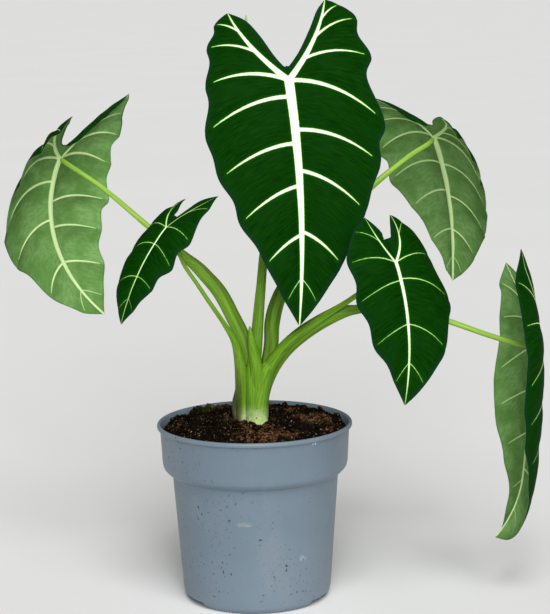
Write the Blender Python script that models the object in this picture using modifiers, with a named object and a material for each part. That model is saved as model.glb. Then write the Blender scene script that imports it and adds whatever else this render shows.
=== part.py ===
"""Alocasia frydek in a plain nursery pot: six arrow-shaped blades on sheathed stalks, a furled new
leaf, a heap of potting soil and the pot.

The origin is the middle of the pot's underside, +Z is up, and the big leaf faces -Y.
Sizes in this file are millimetres, and MM turns them into metres.
"""

import math

import bmesh
import bpy
import numpy as np
from mathutils import Vector, noise

MM = 0.001
CLEARANCE = 0.3

# Pot: a 12 cm nursery pot, measured at its outer side
POT_HEIGHT = 110.0
LIP_RADIUS = 60.0
LIP_DEPTH = 3.0
BAND_TOP_RADIUS = 58.2
BAND_FOOT_RADIUS = 57.0
BAND_FOOT_Z = 85.0
STEP_Z = 78.0
WALL_TOP_RADIUS = 51.0
WALL_FOOT_RADIUS = 45.7
WALL_FOOT_Z = 6.5
BASE_RADIUS = 40.5
POT_WALL = 1.4
FLOOR_THICKNESS = 1.8
POT_SIDES = 48
NOTCHES = 3
NOTCH_WIDTH = 20.0
NOTCH_HEIGHT = 4.0
NOTCH_INNER_RADIUS = 38.5

# Soil: it fills the pot and heaps up a little round the stems
SOIL_EDGE_Z = 107.0
SOIL_HEAP = 4.5
SOIL_RINGS = 11
HEAP_SPREAD = 1.6
CLUMP_SIZE = 9.0
CLUMP_HEIGHT = 3.4
CRUMB_SIZE = 4.0
CRUMB_HEIGHT = 1.2

# Corm: the short trunk, sunk in the soil, which every stalk grows from
CORM_RADIUS = 11.5
CORM_FOOT_Z = 90.0
CORM_TOP_Z = 108.0
CORM_SIDES = 32

# Blades
BLADE_THICKNESS = 0.7
RIB_HALF_WIDTH = 1.1
MIDRIB_HEIGHT = 2.0
MIDRIB_TAPER = 0.75
LOBE_VEIN_HEIGHT = 1.6
LATERAL_HEIGHT = 0.8
LATERAL_TAPER = 0.6
COLUMNS = (0.0, 0.06, 0.27, 0.5, 0.75, 1.0)
INNER_COLUMNS = (0.0, 0.35, 0.7, 1.0)
RIB_BOW = 0.09
LOBE_VEIN_BOW = 0.08
QUILT = 0.016
MARGIN_WAVE = 0.013

# Each blade: its place, how it hangs, and the stations of its two margins.
# heading is the compass direction that its face looks to, in degrees from +X, and fall how steeply it hangs.
# lean and sweep turn the midrib sideways, arch bends it down, twist turns it about itself, and droop
# is how far each half rolls down, left then right, all in degrees over the blade's length or half width.
# A station of three numbers is a rib: how far along the spine it leaves, then where it ends, along the
# midrib and across it. A station of two numbers is a dip of the margin between ribs. The first is the
# tip of the back lobe.
BLADES = {
    "leaf_1": {
        "junction": (24, -15, 319), "heading": -89, "fall": 71, "lean": 7, "sweep": -10, "twist": -7,
        "length": 147, "arch": 24, "droop": (31, 34), "sinus": 9,
        "left": ((-51, 30), (-43, -45, 39), (-37, 40), (-25, -29, 46), (-17, 45), (0, -4, 50), (9, 49),
                 (10, 27, 54), (43, 50), (38, 57, 48), (71, 40), (63, 85, 37), (98, 28), (92, 110, 22),
                 (121, 16), (118, 133, 9)),
        "left_inner": ((-17, 7), (-30, 13), (-42, 20)),
        "right": ((-50, 29), (-43, -46, 37), (-42, 41), (-30, -36, 47), (-23, 45), (-15, -9, 52), (5, 46),
                  (0, 30, 55), (42, 49), (30, 53, 50), (66, 43), (54, 80, 39), (96, 30), (90, 110, 24),
                  (121, 17), (118, 133, 10)),
        "right_inner": ((-17, 9), (-30, 17), (-42, 23)),
    },
    "leaf_2": {
        "junction": (-121, 60, 268), "heading": 142, "fall": 64, "lean": 4, "sweep": -59, "twist": 32,
        "length": 121, "arch": 37, "droop": (43, 58), "sinus": 10,
        "left": ((-53, 31), (-24, -37, 36), (-29, 41), (-14, -20, 43), (-10, 42), (0, 3, 45), (20, 43),
                 (31, 40, 43), (50, 37), (49, 66, 33), (80, 26), (75, 94, 23), (105, 15), (98, 112, 9)),
        "left_inner": ((-14, 8), (-28, 17), (-43, 25)),
        "right": ((-42, 26), (-20, -33, 36), (-25, 36), (-12, -14, 41), (-4, 38), (0, 10, 43), (20, 39),
                  (16, 36, 48), (46, 40), (43, 61, 34), (72, 24), (75, 90, 19), (104, 12), (98, 112, 8)),
        "right_inner": ((-14, 7), (-24, 12), (-33, 19)),
    },
    "leaf_3": {
        "junction": (-50, -25, 234), "heading": -136, "fall": 51, "lean": -14, "sweep": 11, "twist": -12,
        "length": 64, "arch": 23, "droop": (57, 38), "sinus": 9,
        "left": ((-24, 13), (-12, -17, 19), (-10, 18), (0, 5, 22), (14, 18), (12, 22, 21), (30, 16),
                 (34, 41, 14), (49, 9), (48, 56, 5)),
        "left_inner": ((-13, 3), (-19, 8)),
        "right": ((-35, 10), (-15, -24, 16), (-15, 19), (0, 1, 25), (11, 22), (12, 22, 23), (30, 18),
                  (34, 39, 16), (48, 11), (48, 55, 7)),
        "right_inner": ((-16, 4), (-26, 5)),
    },
    "leaf_4": {
        "junction": (116, 60, 278), "heading": 39, "fall": 50, "lean": 17, "sweep": 0, "twist": 0,
        "length": 118, "arch": 28, "droop": (58, 56), "sinus": 12,
        "left": ((-36, 24), (-17, -26, 35), (-18, 33), (-8, -4, 40), (10, 38), (0, 18, 42), (30, 37),
                 (24, 44, 40), (58, 32), (51, 70, 31), (80, 24), (78, 94, 18), (104, 12), (99, 111, 7)),
        "left_inner": ((-18, 5), (-27, 14)),
        "right": ((-41, 29), (-20, -29, 38), (-20, 38), (-9, -9, 43), (6, 43), (0, 19, 47), (31, 42),
                  (24, 46, 43), (57, 38), (47, 69, 31), (80, 25), (78, 93, 18), (104, 11), (99, 112, 6)),
        "right_inner": ((-18, 13), (-30, 22)),
    },
    "leaf_5": {
        "junction": (85, -40, 213), "heading": -55, "fall": 74, "lean": 9, "sweep": -22, "twist": 34,
        "length": 86, "arch": 18, "droop": (45, 46), "sinus": 15,
        "left": ((-31, 9), (-16, -25, 21), (-16, 29), (0, -8, 32), (6, 30), (11, 20, 31), (34, 25),
                 (37, 50, 22), (61, 14), (60, 73, 8)),
        "left_inner": ((-19, 2), (-25, 5)),
        "right": ((-29, 14), (-18, -23, 24), (-15, 27), (0, 2, 29), (12, 28), (10, 28, 36), (38, 28),
                  (37, 53, 24), (62, 17), (60, 73, 10)),
        "right_inner": ((-18, 5), (-24, 9)),
    },
    "leaf_6": {
        "junction": (170, 0, 155), "heading": 4, "fall": 89, "lean": 0, "sweep": 0, "twist": 2,
        "length": 126, "arch": 12, "curl": 30, "droop": (93, 115), "sinus": 13, "rise": 31, "lobe_arch": 6,
        "waves": 0.35,
        "left": ((-64, 25), (-28, -46, 36), (-37, 38), (-13, -18, 41), (-3, 44), (0, 22, 45), (33, 46),
                 (26, 46, 43), (58, 43), (52, 71, 37), (84, 35), (78, 98, 27), (111, 23), (104, 120, 14)),
        "left_inner": ((-24, 7), (-42, 14)),
        "right": ((-49, 25), (-22, -36, 33), (-28, 34), (-12, -12, 39), (4, 42), (0, 25, 45), (36, 45),
                  (28, 48, 44), (60, 42), (54, 73, 37), (85, 34), (80, 99, 26), (111, 22), (104, 120, 13)),
        "right_inner": ((-22, 7), (-36, 14)),
    },
}
# What most blades share: how far each half rises beside the midrib, and how far the back lobes bend
# down. A blade with a curl bends further over the last part of its length, and one whose waves are
# below 1 is smoother than the others.
RISE = 14.0
LOBE_ARCH = 20.0
LOBE_SHARE = 0.34
CURL_SHARE = 0.34
HALF_WIDTH_SHARE = 0.36

# Stalks: the routes of their middles, and their radii, from the corm to the blade. The first six carry
# the blades and get their last two points from blade_seat, and the seventh carries the new leaf.
STALKS = {
    "stalk_1": (
        ((0, -5, 104), (0, -5, 125), (0, -3, 143), (2, 0, 160), (5, 1, 190), (8, 2, 212), (15, 1, 246),
         (21, -1, 288)),
        (5.6, 5.2, 4.8, 3.9, 3.1, 2.4, 2.1, 1.8),
    ),
    "stalk_2": (
        ((-5, 3, 104), (-4, 3, 125), (-3, 2, 142), (-5, 2, 158), (-11, 4, 172), (-20, 7, 189),
         (-31, 9, 202), (-41, 12, 211), (-53, 16, 221), (-64, 22, 229), (-91, 38, 250)),
        (5.8, 5.6, 5.2, 4.6, 4.5, 4.3, 3.9, 2.9, 1.9, 1.7, 1.5),
    ),
    "stalk_3": (
        ((-6, -1, 104), (-7, -2, 125), (-8, -5, 145), (-11, -9, 161), (-17, -13, 173), (-25, -16, 186),
         (-33, -18, 199), (-41, -18, 212)),
        (4.6, 4.4, 3.6, 2.2, 1.5, 1.3, 1.2, 1.2),
    ),
    "stalk_4": (
        ((2, 4, 104), (4, 4, 125), (8, 4, 140), (11, 5, 156), (12, 8, 170), (17, 12, 186), (30, 20, 206),
         (49, 29, 227), (75, 40, 249), (98, 49, 266)),
        (5.2, 4.8, 4.6, 4.4, 4.6, 4.2, 3.0, 2.4, 2.0, 1.5),
    ),
    "stalk_5": (
        ((2, -2, 104), (4, -3, 125), (9, -4, 142), (17, -7, 155), (27, -10, 165), (42, -13, 176),
         (54, -16, 184), (63, -21, 191), (72, -27, 199)),
        (4.8, 4.6, 4.0, 3.4, 3.0, 2.4, 1.7, 1.5, 1.4),
    ),
    "stalk_6": (
        ((3, 1, 104), (4, 0, 125), (10, -1, 142), (20, -3, 156), (34, -6, 168), (50, -9, 177),
         (63, -9, 180), (80, -8, 180), (99, -6, 177), (119, -4, 171), (143, -3, 162)),
        (5.4, 5.2, 5.1, 4.9, 4.8, 4.2, 2.8, 2.0, 1.8, 1.7, 1.6),
    ),
    "stalk_7": (
        ((-1, 7, 104), (-1, 8, 130), (2, 7, 160), (6, 8, 205), (9, 11, 235), (6, 14, 262), (3, 15, 278)),
        (4.2, 3.6, 3.0, 2.2, 1.9, 1.7, 1.6),
    ),
}
STALK_STEP = 7.0
STALK_TURN = 6.5
STALK_SEAT = BLADE_THICKNESS + MIDRIB_HEIGHT + 2 * CLEARANCE
NEW_LEAF_ROUTE = ((3, 15, 278.4), (2, 15, 288), (1, 15, 305), (0, 15, 332), (-1, 15, 357))
NEW_LEAF_RADII = (1.6, 2.7, 3.3, 2.2, 0.5)
# The old sheath that clasps the front stalk's foot, with its pointed free end
SHEATH_NUB_ROUTE = ((0, -7, 128), (0, -8, 150), (-1, -8, 162), (-2, -8, 171))
SHEATH_NUB_RADII = (4.4, 3.8, 2.2, 0.6)


def clear_scene():
    """Remove what the start-up scene holds."""
    for obj in list(bpy.data.objects):
        bpy.data.objects.remove(obj)


def collection(name):
    """Add a collection to the scene."""
    made = bpy.data.collections.new(name)
    bpy.context.scene.collection.children.link(made)
    return made


def material(name, colour, roughness, metallic=0.0):
    """A Principled material with one colour."""
    made = bpy.data.materials.new(name)
    made.use_nodes = True
    shader = made.node_tree.nodes["Principled BSDF"]
    shader.inputs["Base Color"].default_value = (*colour, 1.0)
    shader.inputs["Roughness"].default_value = roughness
    shader.inputs["Metallic"].default_value = metallic
    made.diffuse_color = (*colour, 1.0)
    return made


def add_object(name, data, home, finish):
    """Put mesh or curve data in a collection as a named object."""
    obj = bpy.data.objects.new(name, data)
    obj.data.materials.append(finish)
    home.objects.link(obj)
    return obj


def shade(obj, angle=35.0):
    """Smooth shading that keeps edges sharper than the angle."""
    obj.data.shade_smooth()
    obj.data.set_sharp_from_angle(angle=math.radians(angle))


def baked(obj, home, finish):
    """The object as its modifiers or bevel make it, as one welded mesh object of the same name."""
    bpy.context.view_layer.update()
    graph = bpy.context.evaluated_depsgraph_get()
    mesh = bpy.data.meshes.new_from_object(obj.evaluated_get(graph))
    shaped = bmesh.new()
    shaped.from_mesh(mesh)
    bmesh.ops.remove_doubles(shaped, verts=shaped.verts, dist=0.01 * MM)
    bmesh.ops.recalc_face_normals(shaped, faces=shaped.faces)
    shaped.to_mesh(mesh)
    shaped.free()
    name = obj.name
    bpy.data.objects.remove(obj)
    mesh.materials.clear()
    return add_object(name, mesh, home, finish)


def turned(name, profile, sides, home, finish):
    """A body of revolution about Z, from a profile that starts and ends on the axis."""
    outline = bmesh.new()
    corners = [outline.verts.new((radius * MM, 0, z * MM)) for radius, z in profile]
    for first, second in zip(corners, corners[1:]):
        outline.edges.new((first, second))
    mesh = bpy.data.meshes.new(name)
    outline.to_mesh(mesh)
    outline.free()
    obj = add_object(name, mesh, home, finish)
    screw = obj.modifiers.new("turn", "SCREW")
    screw.steps = screw.render_steps = sides
    screw.use_merge_vertices = True
    screw.merge_threshold = 0.00001
    return obj


def boolean(obj, operation, other):
    """Join a whole collection to the object, or cut one object from it."""
    joint = obj.modifiers.new("boolean", "BOOLEAN")
    joint.operation = operation
    joint.solver = "EXACT"
    if isinstance(other, bpy.types.Collection):
        joint.operand_type = "COLLECTION"
        joint.collection = other
    else:
        joint.object = other


def as_cutter(obj, cutters):
    """Move a new primitive to the cutters, which are kept out of the render."""
    for home in list(obj.users_collection):
        home.objects.unlink(obj)
    cutters.objects.link(obj)
    obj.hide_render = True
    obj.display_type = "WIRE"


# Pot


def pot_profile():
    """Inner floor, up the inner wall, over the lip, down the outer wall and back along the base."""
    inner = [
        (0.0, FLOOR_THICKNESS),
        (BASE_RADIUS - 0.8, FLOOR_THICKNESS),
        (WALL_FOOT_RADIUS - POT_WALL, WALL_FOOT_Z),
        (WALL_TOP_RADIUS - POT_WALL, STEP_Z - 0.5),
        (BAND_FOOT_RADIUS - 1.3 * POT_WALL, BAND_FOOT_Z - 0.8),
        (BAND_TOP_RADIUS - POT_WALL, POT_HEIGHT - LIP_DEPTH - 1.5),
        (BAND_TOP_RADIUS - 0.4, POT_HEIGHT - 0.7),
    ]
    lip = [
        (LIP_RADIUS - 1.4, POT_HEIGHT),
        (LIP_RADIUS - 0.5, POT_HEIGHT - 0.2),
        (LIP_RADIUS, POT_HEIGHT - 1.0),
        (LIP_RADIUS, POT_HEIGHT - LIP_DEPTH + 0.4),
        (BAND_TOP_RADIUS, POT_HEIGHT - LIP_DEPTH - 0.4),
    ]
    outer = [
        (BAND_FOOT_RADIUS + 0.1, BAND_FOOT_Z + 1.0),
        (BAND_FOOT_RADIUS - 0.6, BAND_FOOT_Z - 2.2),
        (BAND_FOOT_RADIUS - 2.7, STEP_Z + 2.4),
        (WALL_TOP_RADIUS + 0.9, STEP_Z + 0.9),
        (WALL_TOP_RADIUS, STEP_Z - 1.2),
        (WALL_FOOT_RADIUS, WALL_FOOT_Z),
        (WALL_FOOT_RADIUS - 0.8, WALL_FOOT_Z - 3.2),
        (WALL_FOOT_RADIUS - 2.8, 0.9),
        (BASE_RADIUS, 0.0),
        (0.0, 0.0),
    ]
    return inner + lip + outer


def build_pot(parts, cutters):
    """The thin plastic pot, with drain notches cut through its lower corner."""
    pot = turned("pot", pot_profile(), POT_SIDES, parts, material("pot_plastic", (0.16, 0.22, 0.27), 0.55))
    depth = WALL_FOOT_RADIUS + 4.0 - NOTCH_INNER_RADIUS
    for index in range(NOTCHES):
        angle = math.tau * (index + 0.5) / NOTCHES - math.pi / 2
        middle = NOTCH_INNER_RADIUS + depth / 2
        bpy.ops.mesh.primitive_cube_add(
            size=MM,
            location=(middle * math.cos(angle) * MM, middle * math.sin(angle) * MM, 0),
            rotation=(0, 0, angle),
            scale=(depth, NOTCH_WIDTH, 2 * NOTCH_HEIGHT),
        )
        notch = bpy.context.object
        notch.name = f"notch_{index + 1}"
        as_cutter(notch, cutters)
    boolean(pot, "DIFFERENCE", cutters)


# Soil


def soil_profile():
    """The plug inside the pot, just clear of its wall, and the rings of its top, in to the axis."""
    wall = [
        (0.0, FLOOR_THICKNESS + CLEARANCE),
        (BASE_RADIUS - 1.1, FLOOR_THICKNESS + CLEARANCE),
        (WALL_FOOT_RADIUS - POT_WALL - 0.4, WALL_FOOT_Z),
        (WALL_TOP_RADIUS - POT_WALL - 0.4, STEP_Z - 0.2),
        (BAND_FOOT_RADIUS - 1.3 * POT_WALL - 0.4, BAND_FOOT_Z - 0.2),
        (BAND_TOP_RADIUS - POT_WALL - 0.7, SOIL_EDGE_Z - 2.5),
    ]
    reach = wall[-1][0]
    rings = [(reach * (1 - step / SOIL_RINGS), SOIL_EDGE_Z) for step in range(1, SOIL_RINGS + 1)]
    return wall + rings


def soil_height(x, y):
    """Height of the heap at a point of the pot's mouth, with its clumps."""
    reach = BAND_TOP_RADIUS - POT_WALL
    nearness = max(0.0, 1 - math.hypot(x, y) / reach)
    heap = SOIL_HEAP * math.sin(min(1.0, HEAP_SPREAD * nearness) * math.pi / 2)
    clump = noise.noise(Vector((x / CLUMP_SIZE, y / CLUMP_SIZE, 4.2)))
    crumb = noise.noise(Vector((x / CRUMB_SIZE, y / CRUMB_SIZE, 9.1)))
    return SOIL_EDGE_Z + heap + CLUMP_HEIGHT * clump + CRUMB_HEIGHT * crumb


def build_soil(parts, cutters):
    """The peat, with its heaped clumpy top and one plain hole for the corm."""
    peat = material("peat", (0.035, 0.024, 0.016), 0.95)
    plug = turned("soil", soil_profile()[::-1], POT_SIDES - 4, parts, peat)
    soil = baked(plug, parts, peat)
    for vertex in soil.data.vertices:
        x, y, z = vertex.co / MM
        if z > SOIL_EDGE_Z - 0.5:
            vertex.co.z = soil_height(x, y) * MM
    hole_foot = CORM_FOOT_Z - CLEARANCE
    hole_top = CORM_TOP_Z + 2 * SOIL_HEAP
    bpy.ops.mesh.primitive_cylinder_add(
        vertices=CORM_SIDES,
        radius=(CORM_RADIUS + CLEARANCE) * MM,
        depth=(hole_top - hole_foot) * MM,
        location=(0, 0, (hole_top + hole_foot) / 2 * MM),
    )
    hole = bpy.context.object
    hole.name = "corm_hole"
    as_cutter(hole, cutters)
    boolean(soil, "DIFFERENCE", hole)
    shade(soil, 60)


# Stalks


def between(before, start, end, after, t):
    """The Catmull-Rom point at t between start and end."""
    slope = end - before
    bend = 2 * before - 5 * start + 4 * end - after
    turn_back = 3 * start - before - 3 * end + after
    return (2 * start + slope * t + bend * t ** 2 + turn_back * t ** 3) / 2


def smooth_route(points, step):
    """A Catmull-Rom curve through the rows of points, read about every step of its first three columns."""
    points = np.array(points, float)
    padded = np.vstack([2 * points[0] - points[1], points, 2 * points[-1] - points[-2]])
    rows = []
    for index in range(1, len(padded) - 2):
        before, start, end, after = padded[index - 1:index + 3]
        count = max(1, round(float(np.linalg.norm((end - start)[:3])) / step))
        for part in range(count):
            rows.append(between(before, start, end, after, part / count))
    rows.append(points[-1])
    return np.array(rows)


def tube(name, route, radii, home, finish, step=STALK_STEP, smoothness=2):
    """A tapering tube as a curve with a bevel and closed ends."""
    rows = smooth_route([(*point, radius) for point, radius in zip(route, radii)], step)
    curve = bpy.data.curves.new(name, "CURVE")
    curve.dimensions = "3D"
    curve.bevel_depth = MM
    curve.bevel_resolution = smoothness
    curve.use_fill_caps = True
    spline = curve.splines.new("POLY")
    spline.points.add(len(rows) - 1)
    for point, (x, y, z, radius) in zip(spline.points, rows):
        point.co = (x * MM, y * MM, z * MM, 1)
        point.radius = radius
    return baked(add_object(name, curve, home, finish), home, finish)


def blade_seat(leaf):
    """The last two points of a stalk: it turns square to the blade and ends just under the junction."""
    junction, forward, normal = midrib_frames(leaf)[0]
    return tuple(junction - normal * STALK_TURN), tuple(junction - normal * STALK_SEAT)


def build_stems(parts):
    """The corm and all stalks, one body that grew together."""
    green = material("stalk_green", (0.2, 0.42, 0.05), 0.45)
    loose = collection("loose_stalks")
    for number, (name, (route, radii)) in enumerate(STALKS.items(), 1):
        if number <= len(BLADES):
            route = (*route, *blade_seat(BLADES[f"leaf_{number}"]))
            radii = (*radii, radii[-1], 0.9 * radii[-1])
        tube(name, route, radii, loose, green)
    tube("sheath_nub", SHEATH_NUB_ROUTE, SHEATH_NUB_RADII, loose, green)
    corm_route = ((0, 0, CORM_FOOT_Z), (0, 0, CORM_FOOT_Z + 4), (0, 0, CORM_TOP_Z - 5), (0, 0, CORM_TOP_Z))
    corm_radii = (CORM_RADIUS - 2, CORM_RADIUS, CORM_RADIUS, CORM_RADIUS - 3)
    corm = tube("stems", corm_route, corm_radii, parts, green, step=4, smoothness=6)
    boolean(corm, "UNION", loose)
    stems = baked(corm, parts, green)
    for obj in list(loose.objects):
        bpy.data.objects.remove(obj)
    bpy.data.collections.remove(loose)
    shade(stems, 50)


def build_new_leaf(parts):
    """The furled new leaf, a slim spindle on its own stalk behind the big leaf."""
    lime = material("new_leaf_green", (0.3, 0.5, 0.1), 0.5)
    spindle = tube("new_leaf", NEW_LEAF_ROUTE, NEW_LEAF_RADII, parts, lime)
    shade(spindle)


# Blades


def turn(vector, axis, angle):
    """The vector turned about an axis of length one, angle in radians."""
    return (vector * math.cos(angle) + np.cross(axis, vector) * math.sin(angle)
            + axis * float(axis @ vector) * (1 - math.cos(angle)))


def midrib_frames(leaf):
    """Place, direction and face normal of the midrib at each millimetre, behind and before the junction."""
    heading, fall = math.radians(leaf["heading"]), math.radians(leaf["fall"])
    outward = np.array((math.cos(heading), math.sin(heading), 0.0))
    upward = np.array((0.0, 0.0, 1.0))
    forward = outward * math.cos(fall) - upward * math.sin(fall)
    normal = outward * math.sin(fall) + upward * math.cos(fall)
    forward = turn(forward, normal, math.radians(leaf["lean"]))
    length = leaf["length"]
    arch, sweep, twist = (math.radians(leaf[key]) / length for key in ("arch", "sweep", "twist"))
    lobe_arch = math.radians(leaf.get("lobe_arch", LOBE_ARCH)) / (LOBE_SHARE * length)
    curl = math.radians(leaf.get("curl", 0.0)) / (CURL_SHARE * length)
    start = (np.array(leaf["junction"], float), forward, normal)
    frames = {0: start}
    for way, bend, swing, roll in ((1, arch, sweep, twist), (-1, -lobe_arch, 0.0, -twist)):
        place, ahead, up = start
        for step in range(1, length + 10):
            across = np.cross(up, ahead)
            bend_here = bend + curl if way * step > (1 - CURL_SHARE) * length else bend
            turned_ahead = turn(ahead, across, bend_here)
            up = turn(up, across, bend_here)
            turned_ahead = turn(turned_ahead, up, swing)
            up = turn(up, turned_ahead, roll)
            place = place + way * (ahead + turned_ahead) / 2
            ahead = turned_ahead
            frames[way * step] = (place, ahead, up)
    return frames


def bent(leaf, frames, along, across, lift):
    """The point of the hanging blade for a flat place along and across its midrib, lifted off its face."""
    low = math.floor(along)
    share = along - low
    place, ahead, up = (frames[low][i] * (1 - share) + frames[low + 1][i] * share for i in range(3))
    sideways = np.cross(up, ahead)
    half = HALF_WIDTH_SHARE * leaf["length"]
    lobe = max(0.0, -along / (LOBE_SHARE * leaf["length"]))
    rise = math.radians(leaf.get("rise", RISE)) * max(0.4, 1 - lobe / 2)
    bend = math.radians(leaf["droop"][int(across > 0)]) / half
    spread = abs(across)
    slope = rise - bend * spread
    out = (math.sin(rise) - math.sin(slope)) / bend
    height = (math.cos(slope) - math.cos(rise)) / bend
    side = math.copysign(1.0, across)
    face = up * math.cos(slope) - side * sideways * math.sin(slope)
    return place + side * out * sideways + height * up + lift * face


def catmull(points, position):
    """A smooth curve through the points, read at a position counted in points."""
    last = len(points) - 1
    index = min(int(position), last - 1)
    start, end = points[index], points[index + 1]
    before = points[index - 1] if index else 2 * start - end
    after = points[index + 2] if index + 2 <= last else 2 * end - start
    return between(before, start, end, after, position - index)


def half_outline(leaf, side):
    """Spine distances, margin points and rib marks of one half, from the lobe's tip to the leaf's tip."""
    stations = leaf[side]
    lobe_tip = np.array(stations[0], float)
    lobe_length = float(np.linalg.norm(lobe_tip))
    margin = [lobe_tip] + [np.array(station[-2:], float) for station in stations[1:]]
    margin.append(np.array((leaf["length"], 0.0)))
    starts = [-lobe_length] + [station[0] if len(station) == 3 else None for station in stations[1:]]
    starts.append(float(leaf["length"]))
    for index, start in enumerate(starts):
        if start is None:
            after = next((value for value in starts[index:] if value is not None), leaf["length"])
            starts[index] = (starts[index - 1] + after) / 2
    marks = [0.0] + [float(len(station) == 3) for station in stations[1:]] + [0.0]
    return starts, margin, marks, lobe_tip, lobe_length


def row_positions(marks, margin, starts):
    """Where the mesh rows lie, counted in stations: at each station, and close beside each rib."""
    rows = []
    for index, mark in enumerate(marks):
        if not mark:
            rows.append((float(index), 0.0))
            continue
        steps = []
        for other in (index - 1, index + 1):
            at_margin = float(np.linalg.norm(margin[other] - margin[index]))
            at_spine = abs(starts[other] - starts[index])
            steps.append((at_margin + at_spine) / 2)
        rows.append((index - min(0.4, RIB_HALF_WIDTH / steps[0]), 0.0))
        rows.append((float(index), 1.0))
        rows.append((index + min(0.4, RIB_HALF_WIDTH / steps[1]), 0.0))
    return rows


def spine_point(distance, lobe_tip, lobe_length):
    """The flat point of the spine: on the midrib ahead of the junction, on the lobe's vein behind it."""
    if distance >= 0:
        return np.array((distance, 0.0))
    share = -distance / lobe_length
    outward = np.array((lobe_tip[1], -lobe_tip[0])) / lobe_length
    return share * lobe_tip + 4 * LOBE_VEIN_BOW * lobe_length * share * (1 - share) * outward


def spine_height(distance, leaf, lobe_length):
    """How far the midrib or lobe vein stands out below the blade."""
    if distance >= 0:
        return MIDRIB_HEIGHT * (1 - MIDRIB_TAPER * distance / leaf["length"])
    return LOBE_VEIN_HEIGHT * (1 + MIDRIB_TAPER * distance / lobe_length)


def half_blade(leaf, side):
    """One half's outer rows, each its spine distance and its points, and the rows behind the junction.

    A point is how far it lies along and across the midrib, its lift off the face and its extra thickness.
    """
    starts, margin, marks, lobe_tip, lobe_length = half_outline(leaf, side)
    quilt, wave = (size * leaf["length"] * leaf.get("waves", 1.0) for size in (QUILT, MARGIN_WAVE))
    outer = []
    for position, rib in row_positions(marks, margin, starts):
        low = min(int(position), len(starts) - 2)
        share = position - low
        distance = starts[low] * (1 - share) + starts[low + 1] * share
        ribness = marks[low] * (1 - share) + marks[low + 1] * share
        spine = spine_point(distance, lobe_tip, lobe_length)
        edge = catmull(margin, position)
        width = float(np.linalg.norm(edge - spine))
        fade = math.sin(math.pi * min(1.0, max(0.0, position / (len(starts) - 1)))) ** 0.5
        row = []
        for column in COLUMNS:
            point = spine + (edge - spine) * column
            bow = RIB_BOW * width * 4 * column * (1 - column)
            lift = fade * (1 - ribness) * (quilt * math.sin(math.pi * column) + wave * column ** 2)
            lift -= fade * ribness * 0.5 * wave * column ** 2
            extra = rib * LATERAL_HEIGHT * (1 - LATERAL_TAPER * column)
            if column == 0.0:
                extra = spine_height(distance, leaf, lobe_length)
            row.append((point[0] - bow, point[1], lift, extra))
        outer.append((distance, row))
    sinus = np.array((-leaf["sinus"], 0.0))
    rim = [sinus] + [np.array(point, float) for point in leaf[side + "_inner"]] + [lobe_tip]
    inner = []
    for distance, row in outer:
        if distance > 0:
            continue
        start = row[0]
        edge = catmull(rim, -distance / lobe_length * (len(rim) - 1))
        spine = np.array(start[:2])
        points = [spine + (edge - spine) * column for column in INNER_COLUMNS[1:]]
        inner.append([start] + [(point[0], point[1], 0.0, 0.0) for point in points])
    return outer, inner


def add_row(shaped, extra_layer, leaf, frames, row, sign):
    """Bend one row of points onto the hanging blade."""
    line = []
    for along, across, lift, extra in row:
        vertex = shaped.verts.new(bent(leaf, frames, along, sign * across, lift) * MM)
        vertex[extra_layer] = extra
        line.append(vertex)
    return line


def fill_strip(shaped, grid):
    """Faces between rows of the same number of points."""
    for first, second in zip(grid, grid[1:]):
        for left in range(len(first) - 1):
            shaped.faces.new((first[left], first[left + 1], second[left + 1], second[left]))


def fill_bridge(shaped, spine, edge):
    """Triangles between two lines of (distance, vertex) that run side by side with unlike steps."""
    i = j = 0
    while i < len(spine) - 1 or j < len(edge) - 1:
        step_spine = j == len(edge) - 1 or (i < len(spine) - 1 and spine[i + 1][0] <= edge[j + 1][0])
        after = spine[i + 1][1] if step_spine else edge[j + 1][1]
        shaped.faces.new((spine[i][1], edge[j][1], after))
        i, j = (i + 1, j) if step_spine else (i, j + 1)


def add_half(shaped, extra_layer, leaf, frames, sign, halves, side):
    """One half of a blade: its lobe, its part before the junction, and the strip along the midrib."""
    outer, inner = halves[side]
    rows = [(distance, add_row(shaped, extra_layer, leaf, frames, row, sign)) for distance, row in outer]
    fill_strip(shaped, [line for distance, line in rows if distance <= 0])
    front = [(distance, line) for distance, line in rows if distance >= 0]
    fill_strip(shaped, [line[1:] for distance, line in front])
    distances = {distance for both, inner_rows in halves.values() for distance, row in both if distance >= 0}
    midrib = [(distance, 0.0, 0.0, spine_height(distance, leaf, 1.0)) for distance in sorted(distances)]
    spine = zip(sorted(distances), add_row(shaped, extra_layer, leaf, frames, midrib, sign))
    fill_bridge(shaped, list(spine), [(distance, line[1]) for distance, line in front])
    fill_strip(shaped, [add_row(shaped, extra_layer, leaf, frames, row, sign) for row in inner])


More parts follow.
